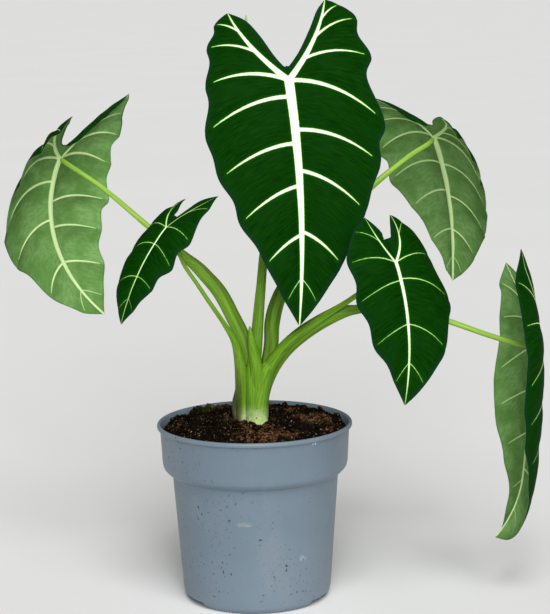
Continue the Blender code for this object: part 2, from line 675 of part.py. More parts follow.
def build_blade(name, leaf, parts, finish):
    """One blade: an open waved sheet, thickened downwards, most along its ribs."""
    frames = midrib_frames(leaf)
    shaped = bmesh.new()
    extra_layer = shaped.verts.layers.float.new("extra")
    halves = {side: half_blade(leaf, side) for side in ("left", "right")}
    for side, sign in (("left", -1), ("right", 1)):
        add_half(shaped, extra_layer, leaf, frames, sign, halves, side)
    bmesh.ops.remove_doubles(shaped, verts=shaped.verts, dist=0.02 * MM)
    bmesh.ops.dissolve_degenerate(shaped, dist=0.02 * MM, edges=shaped.edges)
    bmesh.ops.triangulate(shaped, faces=shaped.faces, quad_method="SHORT_EDGE")
    bmesh.ops.recalc_face_normals(shaped, faces=shaped.faces)
    facing = sum((face.normal * face.calc_area() for face in shaped.faces), Vector())
    if facing.dot(Vector(frames[0][2])) < 0:
        bmesh.ops.reverse_faces(shaped, faces=shaped.faces)
    thickest = BLADE_THICKNESS + MIDRIB_HEIGHT
    weights = [(BLADE_THICKNESS + vertex[extra_layer]) / thickest for vertex in shaped.verts]
    mesh = bpy.data.meshes.new(name)
    shaped.to_mesh(mesh)
    shaped.free()
    blade = add_object(name, mesh, parts, finish)
    group = blade.vertex_groups.new(name="thickness")
    for index, weight in enumerate(weights):
        group.add([index], weight, "REPLACE")
    solidify = blade.modifiers.new("thickness", "SOLIDIFY")
    solidify.thickness = thickest * MM
    solidify.offset = -1
    solidify.vertex_group = "thickness"
    shade(blade)


def main():
    clear_scene()
    parts = collection("alocasia_frydek")
    pot_cutters = collection("pot_cutters")
    soil_cutters = collection("soil_cutters")
    build_pot(parts, pot_cutters)
    build_soil(parts, soil_cutters)
    build_stems(parts)
    build_new_leaf(parts)
    velvet = material("leaf_velvet", (0.012, 0.055, 0.016), 0.6)
    for name, leaf in BLADES.items():
        build_blade(name, leaf, parts, velvet)


main()
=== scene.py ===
"""Alocasia frydek in a nursery pot: fine pieces, finishes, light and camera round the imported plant.

Every piece keeps its place in its mesh, in metres. Sizes in this file are millimetres, and MM turns
them into metres.
"""

import math
import random

import bpy
import numpy as np
from mathutils import Matrix, Vector, noise


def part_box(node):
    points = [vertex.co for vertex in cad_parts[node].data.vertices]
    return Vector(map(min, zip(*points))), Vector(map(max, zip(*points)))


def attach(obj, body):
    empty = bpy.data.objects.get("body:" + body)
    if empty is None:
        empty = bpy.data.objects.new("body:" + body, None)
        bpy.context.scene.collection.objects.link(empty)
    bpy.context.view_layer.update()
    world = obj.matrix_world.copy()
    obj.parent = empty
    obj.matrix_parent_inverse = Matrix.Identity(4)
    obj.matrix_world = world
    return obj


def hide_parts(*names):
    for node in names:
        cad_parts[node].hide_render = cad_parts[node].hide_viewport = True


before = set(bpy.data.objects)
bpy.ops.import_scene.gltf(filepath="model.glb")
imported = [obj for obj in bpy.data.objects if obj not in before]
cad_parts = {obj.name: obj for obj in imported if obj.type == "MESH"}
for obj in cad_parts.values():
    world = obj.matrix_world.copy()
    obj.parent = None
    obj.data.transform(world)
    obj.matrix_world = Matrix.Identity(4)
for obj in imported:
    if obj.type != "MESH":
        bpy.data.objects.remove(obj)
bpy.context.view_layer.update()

MM = 0.001
bpy.ops.object.select_all(action="DESELECT")

# The pot
# A thin nursery pot of moulded grey-blue plastic, with a rolled lip, a tall band under it and three
# wide drain notches in its lower corner. It is drawn as one wall, up the inside from the floor, over the
# lip and down the outside, and splashes of soil have dried on it.

pot_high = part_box("pot")[1]
LIP_RADIUS = pot_high.x / MM
POT_HEIGHT = pot_high.z / MM
POT_SIDES = 128
LIP_DEPTH = 3.0
BAND_TOP_RADIUS = 58.2
BAND_FOOT_RADIUS = 57.0
BAND_FOOT_Z = 85.0
STEP_Z = 78.0
WALL_TOP_RADIUS = 51.0
WALL_FOOT_RADIUS = 45.7
WALL_FOOT_Z = 6.5
BASE_RADIUS = 40.5
POT_WALL = 1.4
FLOOR_THICKNESS = 1.8
POT_INSIDE = (
    (BASE_RADIUS - 0.8, FLOOR_THICKNESS),
    (WALL_FOOT_RADIUS - POT_WALL, WALL_FOOT_Z),
    (WALL_TOP_RADIUS - POT_WALL, STEP_Z - 0.5),
    (BAND_FOOT_RADIUS - 1.3 * POT_WALL, BAND_FOOT_Z - 0.8),
    (BAND_TOP_RADIUS - POT_WALL, POT_HEIGHT - LIP_DEPTH - 1.5),
    (BAND_TOP_RADIUS - 0.4, POT_HEIGHT - 0.7),
)
POT_LIP = (
    (LIP_RADIUS - 1.4, POT_HEIGHT),
    (LIP_RADIUS - 0.5, POT_HEIGHT - 0.2),
    (LIP_RADIUS, POT_HEIGHT - 1.0),
    (LIP_RADIUS, POT_HEIGHT - LIP_DEPTH + 0.4),
    (BAND_TOP_RADIUS, POT_HEIGHT - LIP_DEPTH - 0.4),
)
POT_OUTSIDE = (
    (BAND_FOOT_RADIUS + 0.1, BAND_FOOT_Z + 1.0),
    (BAND_FOOT_RADIUS - 0.6, BAND_FOOT_Z - 2.2),
    (BAND_FOOT_RADIUS - 2.7, STEP_Z + 2.4),
    (WALL_TOP_RADIUS + 0.9, STEP_Z + 0.9),
    (WALL_TOP_RADIUS, STEP_Z - 1.2),
    (WALL_FOOT_RADIUS, WALL_FOOT_Z),
    (WALL_FOOT_RADIUS - 0.8, WALL_FOOT_Z - 3.2),
    (WALL_FOOT_RADIUS - 2.8, 0.9),
    (BASE_RADIUS, 0.0),
)
NOTCHES = 3
NOTCH_WIDTH = 20.0
NOTCH_HEIGHT = 4.0
NOTCH_INNER_RADIUS = 38.5
NOTCH_DEPTH = WALL_FOOT_RADIUS + 4.0 - NOTCH_INNER_RADIUS


class Field:
    """A value that varies over a surface: an output of a material's node, with arithmetic on it."""

    def __init__(self, tree, socket):
        self.tree = tree
        self.socket = socket

    def node(self, kind, settings, inputs, output=0):
        """Add a node: first its settings, then what its inputs hold or are linked to."""
        made = self.tree.nodes.new(kind)
        for name, value in settings.items():
            setattr(made, name, value)
        for name, value in inputs.items():
            if isinstance(value, Field):
                self.tree.links.new(value.socket, made.inputs[name])
            else:
                made.inputs[name].default_value = value
        return Field(self.tree, made.outputs[output])

    def maths(self, operation, *values):
        return self.node("ShaderNodeMath", {"operation": operation}, dict(enumerate(values)))

    def __add__(self, other):
        return self.maths("ADD", self, other)

    def __sub__(self, other):
        return self.maths("SUBTRACT", self, other)

    def __mul__(self, other):
        return self.maths("MULTIPLY", self, other)

    def step(self, low, high):
        """0 below low, 1 above high, and smooth between. With low above high it falls instead."""
        settings = {"interpolation_type": "SMOOTHSTEP"}
        return self.node("ShaderNodeMapRange", settings, {0: self, 1: low, 2: high})

    def both(self, low_colour, high_colour):
        """The first colour where this is 0 and the second where it is 1."""
        low, high = ((*c, 1.0) if isinstance(c, tuple) else c for c in (low_colour, high_colour))
        return self.node("ShaderNodeMix", {"data_type": "RGBA"}, {0: self, 6: low, 7: high}, 2)

    def stretched(self, x, y, z):
        """The place with its three axes multiplied."""
        settings = {"operation": "MULTIPLY"}
        return self.node("ShaderNodeVectorMath", settings, {0: self, 1: (x, y, z)})

    def grain(self, scale, detail=2.0, roughness=0.5):
        """Noise over the place, about 0.5 on average."""
        inputs = {"Vector": self, "Scale": scale, "Detail": detail, "Roughness": roughness}
        return self.node("ShaderNodeTexNoise", {}, inputs)

    def axis(self, index):
        """One of the place's three numbers."""
        return self.node("ShaderNodeSeparateXYZ", {}, {0: self}, index)

    def away_from(self, point):
        """The distance of the place from a point."""
        return self.node("ShaderNodeVectorMath", {"operation": "DISTANCE"}, {0: self, 1: point}, 1)


def finish(name, specular=0.3):
    """A material, its Principled shader and the place on the piece, in metres."""
    made = bpy.data.materials.new(name)
    made.use_nodes = True
    shader = made.node_tree.nodes["Principled BSDF"]
    shader.inputs["Specular IOR Level"].default_value = specular
    place = Field(made.node_tree, None).node("ShaderNodeTexCoord", {}, {}, 3)
    return made, shader, place


def coat(shader, colour, roughness, height, depth):
    """Give the shader its colour and roughness, and a bump that stands for the depth in metres."""
    bump = height.node("ShaderNodeBump", {}, {"Height": height, "Distance": depth})
    for field, socket in ((colour, "Base Color"), (roughness, "Roughness"), (bump, "Normal")):
        field.tree.links.new(field.socket, shader.inputs[socket])


def only(obj):
    """Make one object the selected and active one."""
    bpy.ops.object.select_all(action="DESELECT")
    obj.select_set(True)
    bpy.context.view_layer.objects.active = obj


def modified(obj, kind, **settings):
    """Add a modifier and apply it."""
    only(obj)
    modifier = obj.modifiers.new(kind, kind)
    for name, value in settings.items():
        setattr(modifier, name, value)
    bpy.ops.object.modifier_apply(modifier=modifier.name)


def joined(name, objects):
    """Several objects made one, with its place in its mesh."""
    whole = objects[0]
    only(whole)
    for obj in objects[1:]:
        obj.select_set(True)
    if len(objects) > 1:
        bpy.ops.object.join()
    whole.name = name
    bpy.ops.object.transform_apply(location=True, rotation=True, scale=True)
    return whole


def finished(piece, material, angle=35):
    """Give a piece its material and soft shading, and let it ride with the plant."""
    only(piece)
    piece.data.materials.clear()
    piece.data.materials.append(material)
    bpy.ops.object.shade_smooth_by_angle(angle=math.radians(angle))
    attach(piece, "root")


def open_whole():
    """Open the active mesh for editing, with all of it selected."""
    bpy.ops.object.mode_set(mode="EDIT")
    bpy.ops.mesh.select_all(action="SELECT")


def close_faced_out():
    """Turn all faces of the mesh that is open for editing outwards, and leave its editing."""
    bpy.ops.mesh.select_all(action="SELECT")
    bpy.ops.mesh.normals_make_consistent(inside=False)
    bpy.ops.object.mode_set(mode="OBJECT")


def draw_ring(outline):
    """Draw the selected ring of edges along an outline of radii and heights, from its first pair."""
    for (radius, height), (next_radius, next_height) in zip(outline, outline[1:]):
        lift = {"value": (0, 0, (next_height - height) * MM)}
        bpy.ops.mesh.extrude_region_move(TRANSFORM_OT_translate=lift)
        spread = next_radius / radius
        bpy.ops.transform.resize(value=(spread, spread, 1), center_override=(0, 0, next_height * MM))


def drawn_up(name, outline, sides):
    """A turned body: a ring drawn along its outline of radii and heights, with both ends filled."""
    radius, height = outline[0]
    bpy.ops.mesh.primitive_circle_add(vertices=sides, radius=radius * MM, location=(0, 0, height * MM))
    bpy.ops.object.mode_set(mode="EDIT")
    bpy.ops.mesh.select_mode(type="EDGE")
    bpy.ops.mesh.select_all(action="SELECT")
    draw_ring(outline)
    bpy.ops.mesh.select_all(action="SELECT")
    bpy.ops.mesh.fill_holes(sides=0)
    close_faced_out()
    return joined(name, [bpy.context.object])


def pot_plastic():
    """Grey-blue plastic with a fine moulded grain, dull handling marks, dust and specks of soil."""
    material, shader, place = finish("pot_plastic", specular=0.45)
    cloudy = place.grain(14, 3).step(0.35, 0.65)
    plastic = cloudy.both((0.132, 0.180, 0.226), (0.152, 0.202, 0.250))
    handled = place.stretched(1, 1, 0.35).grain(60, 4, 0.65).step(0.50, 0.78)
    plastic = (handled * 0.30).both(plastic, (0.225, 0.25, 0.272))
    dusty = place.axis(0).step(0.01, -0.045) * 0.16 + place.grain(30, 2)
    speckled_area = dusty.step(0.47, 0.62)
    specks = place.grain(360, 2, 0.6).step(0.665, 0.70) * speckled_area
    smaller = place.grain(900, 2, 0.6).step(0.665, 0.70) * (speckled_area * 0.8 + 0.2)
    plastic = specks.maths("MAXIMUM", specks * 0.9, smaller * 0.7).both(plastic, (0.018, 0.014, 0.012))
    smudge_way = place.stretched(0.3, 1, 1)
    smudge = smudge_way.away_from((-0.0065 * 0.3, -0.0486, 0.0576)).step(0.0022, 0.0008)
    smudge = smudge * place.stretched(0.35, 1, 3).grain(500, 3).step(0.35, 0.6)
    plastic = (smudge * 0.45).both(plastic, (0.40, 0.35, 0.31))
    flake = place.away_from((0.0355, -0.0458, 0.1064)).step(0.0020, 0.0012)
    flake = flake * place.grain(900, 2).step(0.45, 0.55)
    plastic = (flake * 0.8).both(plastic, (0.62, 0.68, 0.72))
    scuff = place.away_from((0.0282, -0.0385, 0.0342)).step(0.0035, 0.0012)
    scuff = scuff * place.stretched(1.5, 1, 0.5).grain(800, 2).step(0.52, 0.60)
    plastic = (scuff * 0.5).both(plastic, (0.5, 0.55, 0.58))
    coat(shader, plastic, place.grain(90, 3) * 0.14 + 0.38, place.grain(1500, 2) + specks * 2, 0.00006)
    return material


pot = drawn_up("pot_shell", (*POT_INSIDE, *POT_LIP, *POT_OUTSIDE), POT_SIDES)
modified(pot, "BEVEL", width=0.45 * MM, segments=2, limit_method="ANGLE", angle_limit=math.radians(14))
notch_cutters = []
for index in range(NOTCHES):
    angle = math.tau * (index + 0.5) / NOTCHES - math.pi / 2
    middle = NOTCH_INNER_RADIUS + NOTCH_DEPTH / 2
    bpy.ops.mesh.primitive_cube_add(
        size=MM,
        location=(middle * math.cos(angle) * MM, middle * math.sin(angle) * MM, 0),
        rotation=(0, 0, angle),
        scale=(NOTCH_DEPTH, NOTCH_WIDTH, 2 * NOTCH_HEIGHT),
    )
    notch_cutters.append(bpy.context.object)
notch_cutter = joined("notch_cutter", notch_cutters)
modified(pot, "BOOLEAN", operation="DIFFERENCE", object=notch_cutter)
bpy.data.objects.remove(notch_cutter)
finished(pot, pot_plastic(), 30)
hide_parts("pot")

# The soil
# Dark damp peat that fills the pot to just under its lip and heaps up round the stems. Its top is a
# round sheet of crumbs and clumps, drawn down the inside of the pot as one closed plug.

SOIL_EDGE_Z = 107.0
SOIL_HEAP = 4.5
HEAP_SPREAD = 1.6
SOIL_REACH = BAND_TOP_RADIUS - POT_WALL - 0.7
SOIL_CELLS = 190
PLUG = (
    (BAND_FOOT_RADIUS - 1.3 * POT_WALL - 0.4, BAND_FOOT_Z - 0.2),
    (WALL_TOP_RADIUS - POT_WALL - 0.4, STEP_Z - 0.2),
    (WALL_FOOT_RADIUS - POT_WALL - 0.4, WALL_FOOT_Z),
    (BASE_RADIUS - 1.1, FLOOR_THICKNESS + 0.3),
)
SOIL_RIM_Z = SOIL_EDGE_Z - 1.5
SOIL_BUMPS = ((3.4, 9, 4.2), (1.2, 4, 9.1), (0.8, 2.1, 2.3))
CLUMPS = (
    (-37, 38, 6.0, 4.4), (-29, 42, 4.5, 3.0), (30, 39, 7.0, 2.8), (39, 31, 6.0, 2.2), (-8, -30, 9.0, 1.2),
)
RUSTY_PATCHES = (((0.004, -0.038, 0.111), 0.020), ((0.038, 0.0, 0.110), 0.018))


def soil_height(x, y):
    """Height of the soil's top at a place of the pot's mouth."""
    nearness = max(0.0, 1 - math.hypot(x, y) / (BAND_TOP_RADIUS - POT_WALL))
    height = SOIL_EDGE_Z + SOIL_HEAP * math.sin(min(1.0, HEAP_SPREAD * nearness) * math.pi / 2)
    for bump_height, bump_size, layer in SOIL_BUMPS:
        height += bump_height * noise.noise(Vector((x / bump_size, y / bump_size, layer)))
    height += 0.5 * abs(noise.noise(Vector((x / 0.9, y / 0.9, 7.7))))
    height -= 1.4 * max(0.0, math.hypot(x, y) / SOIL_REACH - 0.8) / 0.2
    for clump_x, clump_y, width, rise in CLUMPS:
        away = math.hypot(x - clump_x, y - clump_y) / width
        height += rise * max(0.0, 1 - away * away)
    return height


def peat():
    """Near-black peat with rusty fibrous patches, straw-coloured bits and a little olive moss."""
    material, shader, place = finish("peat", specular=0.04)
    crumbs = place.grain(420, 4, 0.65)
    colour = crumbs.step(0.40, 0.80).both((0.0018, 0.0012, 0.0007), (0.012, 0.0068, 0.0034))
    rusty_area = place.grain(42, 2).step(0.52, 0.66) * 0.9
    for middle, reach in RUSTY_PATCHES:
        patch = place.away_from(middle).step(reach, 0.006)
        rusty_area = rusty_area.maths("MAXIMUM", rusty_area, patch)
    rusty = place.grain(650, 3, 0.6).step(0.38, 0.66).both((0.012, 0.006, 0.003), (0.20, 0.092, 0.040))
    colour = (rusty_area * place.grain(230, 3).step(0.42, 0.56)).both(colour, rusty)
    straw = place.grain(820, 2, 0.6).step(0.655, 0.69)
    colour = (straw * 0.8).both(colour, (0.36, 0.23, 0.10))
    moss = place.away_from((-0.034, 0.046, 0.112)).step(0.017, 0.004) * place.grain(260, 3).step(0.38, 0.55)
    colour = (moss * 0.8).both(colour, (0.045, 0.060, 0.012))
    coat(shader, colour, crumbs * 0.3 + 0.65, place.grain(900, 4, 0.7), 0.0006)
    return material


bpy.ops.mesh.primitive_grid_add(x_subdivisions=SOIL_CELLS, y_subdivisions=SOIL_CELLS, size=2)
soil = bpy.context.object
for vertex in soil.data.vertices:
    # the square grid is made round
    x, y = vertex.co.x, vertex.co.y
    round_x, round_y = x * math.sqrt(1 - y * y / 2), y * math.sqrt(1 - x * x / 2)
    rim = max(0.0, math.hypot(round_x, round_y) - 0.985) / 0.015
    x, y = round_x * SOIL_REACH, round_y * SOIL_REACH
    height = soil_height(x, y) * (1 - rim) + SOIL_RIM_Z * rim
    vertex.co = (x * MM, y * MM, height * MM)
open_whole()
bpy.ops.mesh.region_to_loop()
draw_ring(((SOIL_REACH, SOIL_RIM_Z), *PLUG))
bpy.ops.mesh.edge_face_add()
close_faced_out()
soil = joined("soil_plug", [soil])
peat_finish = peat()
finished(soil, peat_finish, 60)
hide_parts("soil")

# Crumbs on the soil
# Loose crumbs of peat and bark, pressed into the soil. A few rough lumps are shaped, and copies of
# them are turned, scaled and scattered, most of them small.

CRUMB_KINDS = 5
CRUMBS = 1100
CLOD_SIZE = 0.9
STEMS_REACH = 14
EDGE_MARGIN = 2.5
scatter = random.Random(4)


def scattered_spot():
    """A place on the soil, clear of the stems and the pot."""
    while True:
        x, y = (scatter.uniform(-1, 1) * (SOIL_REACH - EDGE_MARGIN) for _ in range(2))
        if STEMS_REACH < math.hypot(x, y + 2) and math.hypot(x, y) < SOIL_REACH - EDGE_MARGIN:
            return x, y


lumps = []
for kind in range(2 * CRUMB_KINDS):
    bpy.ops.mesh.primitive_ico_sphere_add(subdivisions=1 + kind // CRUMB_KINDS, radius=MM)
    lump = bpy.context.object
    for vertex in lump.data.vertices:
        vertex.co *= 1 + 0.75 * noise.noise(vertex.co * 1100 + Vector((7 * kind, 0, 0)))
    lumps.append(lump)
crumbs = []
for index in range(CRUMBS):
    x, y = scattered_spot()
    size = 0.35 + 1.3 * scatter.random() ** 4
    kind = index % CRUMB_KINDS + CRUMB_KINDS * (size > CLOD_SIZE)
    crumb = bpy.data.objects.new("crumb", lumps[kind].data.copy())
    bpy.context.collection.objects.link(crumb)
    crumb.rotation_euler = [scatter.uniform(0, math.tau) for _ in range(3)]
    crumb.scale = [size * scatter.uniform(0.7, 1.3) for _ in range(3)]
    crumb.location = (x * MM, y * MM, (soil_height(x, y) + 0.25 * size) * MM)
    crumbs.append(crumb)
for lump in lumps:
    bpy.data.objects.remove(lump)
crumbs = joined("soil_crumbs", crumbs)
finished(crumbs, peat_finish, 60)

# The blades
# Six arrow-shaped leaves, each one thin sheet of velvety, very dark green tissue that is paler and
# smoother below. A broad white midrib, two lobe veins and bowed side veins stand out on the underside,
# and the tissue puffs up a little between them. Each hangs from the end of its stalk.

BLADE_THICKNESS = 0.5
MIDRIB_TAPER = 0.84
LOBE_VEIN_SHARE = 0.68
LATERAL_END = 0.94
LATERAL_FADE = 0.3
LAST_LATERALS_FADE = 0.55
LAST_LATERALS_FROM = 0.66
LAST_LATERALS_OVER = 0.12
LOBE_LATERAL_SHARE = 0.8
LOBE_LATERAL_FADE = 0.35
ROLL_GROWTH = 2.5
RUFFLE = 0.35
NO_VEIN_NEAR = 99.0
RIB_SHARE = 0.85
RIB_SPREAD = 1.8
COLUMNS = (np.arange(44) / 43) ** 1.6
INNER_COLUMNS = np.linspace(0, 1, 21)
SINUS_WIDTH = 0.22
ROW_STEP = 1.7
RIB_SIDES = (0.25, 0.6, 1.1)
RIB_BOW = 0.09
LOBE_VEIN_BOW = 0.08
QUILT = 0.016
MARGIN_WAVE = 0.013
RISE = 14.0
LOBE_ARCH = 20.0
LOBE_SHARE = 0.34
CURL_SHARE = 0.34
HALF_WIDTH_SHARE = 0.36
# Each blade has the measures of its solid, in millimetres and degrees. The stations of a margin start at the
# lobe's tip. Each is a place along and across, after the start of its side vein on the spine if it has one.
# vein_widths are half widths, of the midrib and of the side veins. rolled is a roll's radius and angle.
BLADES = {
    "leaf_1": {
        "vein_widths": (3.0, 1.30),
        "junction": (24, -15, 319), "heading": -89, "fall": 71, "lean": 7, "sweep": -10, "twist": -7,
        "length": 147, "arch": 24, "droop": (31, 34), "sinus": 9,
        "left": ((-51, 30), (-43, -45, 39), (-37, 40), (-25, -29, 46), (-17, 45), (0, -4, 50), (9, 49),
                 (10, 27, 54), (43, 50), (38, 57, 48), (71, 40), (63, 85, 37), (98, 28), (92, 110, 22),
                 (121, 16), (118, 133, 9)),
        "left_inner": ((-17, 7), (-30, 13), (-42, 20)),
        "right": ((-50, 29), (-43, -46, 37), (-42, 41), (-30, -36, 47), (-23, 45), (-15, -9, 52), (5, 46),
                  (0, 30, 55), (42, 49), (30, 53, 50), (66, 43), (54, 80, 39), (96, 30), (90, 110, 24),
                  (121, 17), (118, 133, 10)),
        "right_inner": ((-17, 9), (-30, 17), (-42, 23)),
    },
    "leaf_2": {
        "vein_widths": (1.75, 0.74),
        "junction": (-121, 60, 268), "heading": 142, "fall": 64, "lean": 4, "sweep": -59, "twist": 32,
        "length": 121, "arch": 37, "droop": (43, 58), "sinus": 10,
        "rolled": {"left": (1.6, 110), "left_inner": (1.8, 200), "right_inner": (1.5, 170)},
        "left": ((-53, 31), (-24, -37, 36), (-29, 41), (-14, -20, 43), (-10, 42), (0, 3, 45), (20, 43),
                 (31, 40, 43), (50, 37), (49, 66, 33), (80, 26), (75, 94, 23), (105, 15), (98, 112, 9)),
        "left_inner": ((-14, 8), (-28, 17), (-43, 25)),
        "right": ((-42, 26), (-20, -33, 36), (-25, 36), (-12, -14, 41), (-4, 38), (0, 10, 43), (20, 39),
                  (16, 36, 48), (46, 40), (43, 61, 34), (72, 24), (75, 90, 19), (104, 12), (98, 112, 8)),
        "right_inner": ((-14, 7), (-24, 12), (-33, 19)),
    },
    "leaf_3": {
        "vein_widths": (0.66, 0.24),
        "junction": (-50, -25, 234), "heading": -136, "fall": 51, "lean": -14, "sweep": 11, "twist": -12,
        "length": 64, "arch": 23, "droop": (57, 38), "sinus": 9,
        "left": ((-24, 13), (-12, -17, 19), (-10, 18), (0, 5, 22), (14, 18), (12, 22, 21), (30, 16),
                 (34, 41, 14), (49, 9), (48, 56, 5)),
        "left_inner": ((-13, 3), (-19, 8)),
        "right": ((-35, 10), (-15, -24, 16), (-15, 19), (0, 1, 25), (11, 22), (12, 22, 23), (30, 18),
                  (34, 39, 16), (48, 11), (48, 55, 7)),
        "right_inner": ((-16, 4), (-26, 5)),
    },
    "leaf_4": {
        "vein_widths": (1.9, 0.62),
        "junction": (116, 60, 278), "heading": 39, "fall": 50, "lean": 17, "sweep": 0, "twist": 0,
        "length": 118, "arch": 28, "droop": (58, 56), "sinus": 12,
        "rolled": {"right": (2.0, 150), "right_inner": (2.0, 170)},
        "left": ((-36, 24), (-17, -26, 35), (-18, 33), (-8, -4, 40), (10, 38), (0, 18, 42), (30, 37),
                 (24, 44, 40), (58, 32), (51, 70, 31), (80, 24), (78, 94, 18), (104, 12), (99, 111, 7)),
        "left_inner": ((-18, 5), (-27, 14)),
        "right": ((-41, 29), (-20, -29, 38), (-20, 38), (-9, -9, 43), (6, 43), (0, 19, 47), (31, 42),
                  (24, 46, 43), (57, 38), (47, 69, 31), (80, 25), (78, 93, 18), (104, 11), (99, 112, 6)),
        "right_inner": ((-18, 13), (-30, 22)),
    },
    "leaf_5": {
        "vein_widths": (1.30, 0.33),
        "junction": (85, -40, 213), "heading": -55, "fall": 74, "lean": 9, "sweep": -22, "twist": 34,
        "length": 86, "arch": 18, "droop": (45, 46), "sinus": 15,
        "left": ((-31, 9), (-16, -25, 21), (-16, 29), (0, -8, 32), (6, 30), (11, 20, 31), (34, 25),
                 (37, 50, 22), (61, 14), (60, 73, 8)),
        "left_inner": ((-19, 2), (-25, 5)),
        "right": ((-29, 14), (-18, -23, 24), (-15, 27), (0, 2, 29), (12, 28), (10, 28, 36), (38, 28),
                  (37, 53, 24), (62, 17), (60, 73, 10)),
        "right_inner": ((-18, 5), (-24, 9)),
    },
    "leaf_6": {
        "vein_widths": (1.35, 0.6),
        "junction": (170, 0, 155), "heading": 4, "fall": 89, "lean": 0, "sweep": 0, "twist": 2,
        "length": 126, "arch": 12, "curl": 30, "droop": (93, 115), "sinus": 13, "rise": 31, "lobe_arch": 6,
        "waves": 0.35,
        "left": ((-64, 25), (-28, -46, 36), (-37, 38), (-13, -18, 41), (-3, 44), (0, 22, 45), (33, 46),
                 (26, 46, 43), (58, 43), (52, 71, 37), (84, 35), (78, 98, 27), (111, 23), (104, 120, 14)),
        "left_inner": ((-24, 7), (-42, 14)),
        "right": ((-49, 25), (-22, -36, 33), (-28, 34), (-12, -12, 39), (4, 42), (0, 25, 45), (36, 45),
                  (28, 48, 44), (60, 42), (54, 73, 37), (85, 34), (80, 99, 26), (111, 22), (104, 120, 13)),
        "right_inner": ((-22, 7), (-36, 14)),
    },
}


def along_spline(points, positions):
    """A Catmull-Rom curve through rows of numbers, read at positions counted in rows."""
    points = np.asarray(points, float)
    padded = np.vstack([2 * points[0] - points[1], points, 2 * points[-1] - points[-2]])
    index = np.clip(np.floor(positions).astype(int), 0, len(points) - 2)
    t = (positions - index)[:, None]
    before, start, end, after = (padded[index + step] for step in range(4))
    slope = end - before
    bend = 2 * before - 5 * start + 4 * end - after
    turn_back = 3 * start - before - 3 * end + after
    return (2 * start + slope * t + bend * t ** 2 + turn_back * t ** 3) / 2


def grid_piece(name, columns, rows, places, values):
    """A grid of columns by rows of points, moved to their places, with named values at its points."""
    bpy.ops.mesh.primitive_grid_add(
        x_subdivisions=columns - 1, y_subdivisions=rows - 1, size=1, calc_uvs=False,
    )
    piece = bpy.context.object
    piece.name = name
    piece.data.vertices.foreach_set("co", (places * MM).astype(np.float32).ravel())
    for label, numbers in values.items():
        kind, part = ("FLOAT_VECTOR", "vector") if numbers.ndim == 2 else ("FLOAT", "value")
        stored = piece.data.attributes.new(label, kind, "POINT")
        stored.data.foreach_set(part, numbers.astype(np.float32).ravel())
    return piece


def turned(vector, axis, angle):
    """The vector turned about an axis of length one, angle in radians."""
    return (vector * math.cos(angle) + np.cross(axis, vector) * math.sin(angle)
            + axis * float(axis @ vector) * (1 - math.cos(angle)))


def midrib_frames(leaf):
    """Place, direction and face normal of the midrib, a row for each millimetre from the back lobes on."""
    heading, fall = math.radians(leaf["heading"]), math.radians(leaf["fall"])
    outward = np.array((math.cos(heading), math.sin(heading), 0.0))
    upward = np.array((0.0, 0.0, 1.0))
    forward = outward * math.cos(fall) - upward * math.sin(fall)
    normal = outward * math.sin(fall) + upward * math.cos(fall)
    forward = turned(forward, normal, math.radians(leaf["lean"]))
    length = leaf["length"]
    arch, sweep, twist = (math.radians(leaf[key]) / length for key in ("arch", "sweep", "twist"))
    lobe_arch = math.radians(leaf.get("lobe_arch", LOBE_ARCH)) / (LOBE_SHARE * length)
    curl = math.radians(leaf.get("curl", 0.0)) / (CURL_SHARE * length)
    start = (np.array(leaf["junction"], float), forward, normal)
    frames = {0: start}
    for way, bend, swing, roll in ((1, arch, sweep, twist), (-1, -lobe_arch, 0.0, -twist)):
        place, ahead, up = start
        for step in range(1, length + 10):
            across = np.cross(up, ahead)
            bend_here = bend + curl if way * step > (1 - CURL_SHARE) * length else bend
            turned_ahead = turned(ahead, across, bend_here)
            up = turned(up, across, bend_here)
            turned_ahead = turned(turned_ahead, up, swing)
            up = turned(up, turned_ahead, roll)
            place = place + way * (ahead + turned_ahead) / 2
            ahead = turned_ahead
            frames[way * step] = (place, ahead, up)
    return tuple(np.array([frames[step][i] for step in sorted(frames)]) for i in range(3))


def hung(leaf, frames, flat, lift):
    """Points of the hanging blade for flat points along and across its midrib, lifted off its face."""
    along, across = flat[:, 0], flat[:, 1]
    low = np.floor(along).astype(int)
    share = (along - low)[:, None]
    first = low + len(frames[0]) // 2
    place, ahead, up = (rows[first] * (1 - share) + rows[first + 1] * share for rows in frames)
    sideways = np.cross(up, ahead)
    lobe = np.maximum(0, -along / (LOBE_SHARE * leaf["length"]))
    rise = math.radians(leaf.get("rise", RISE)) * np.maximum(0.4, 1 - lobe / 2)
    droop = np.where(across > 0, leaf["droop"][1], leaf["droop"][0])
    bend = np.radians(droop) / (HALF_WIDTH_SHARE * leaf["length"])
    slope = rise - bend * np.abs(across)
    side = np.where(across < 0, -1.0, 1.0)
    out = side * (np.sin(rise) - np.sin(slope)) / bend
    height = (np.cos(slope) - np.cos(rise)) / bend
    face = up * np.cos(slope)[:, None] - sideways * (side * np.sin(slope))[:, None]
    return place + sideways * out[:, None] + up * height[:, None] + face * lift[:, None]


def half_outline(leaf, side):
    """Spine distances, margin points and rib marks of one half, from the lobe's tip to the leaf's tip."""
    stations = leaf[side]
    margin = np.array([station[-2:] for station in stations] + [(leaf["length"], 0)], float)
    starts = [-float(np.linalg.norm(margin[0]))]
    starts += [station[0] if len(station) == 3 else None for station in stations[1:]] + [leaf["length"]]
    for index, start in enumerate(starts):
        if start is None:
            after = next(value for value in starts[index:] if value is not None)
            starts[index] = (starts[index - 1] + after) / 2
    marks = [0.0] + [float(len(station) == 3) for station in stations[1:]] + [0.0]
    return np.array(starts, float), margin, np.array(marks)


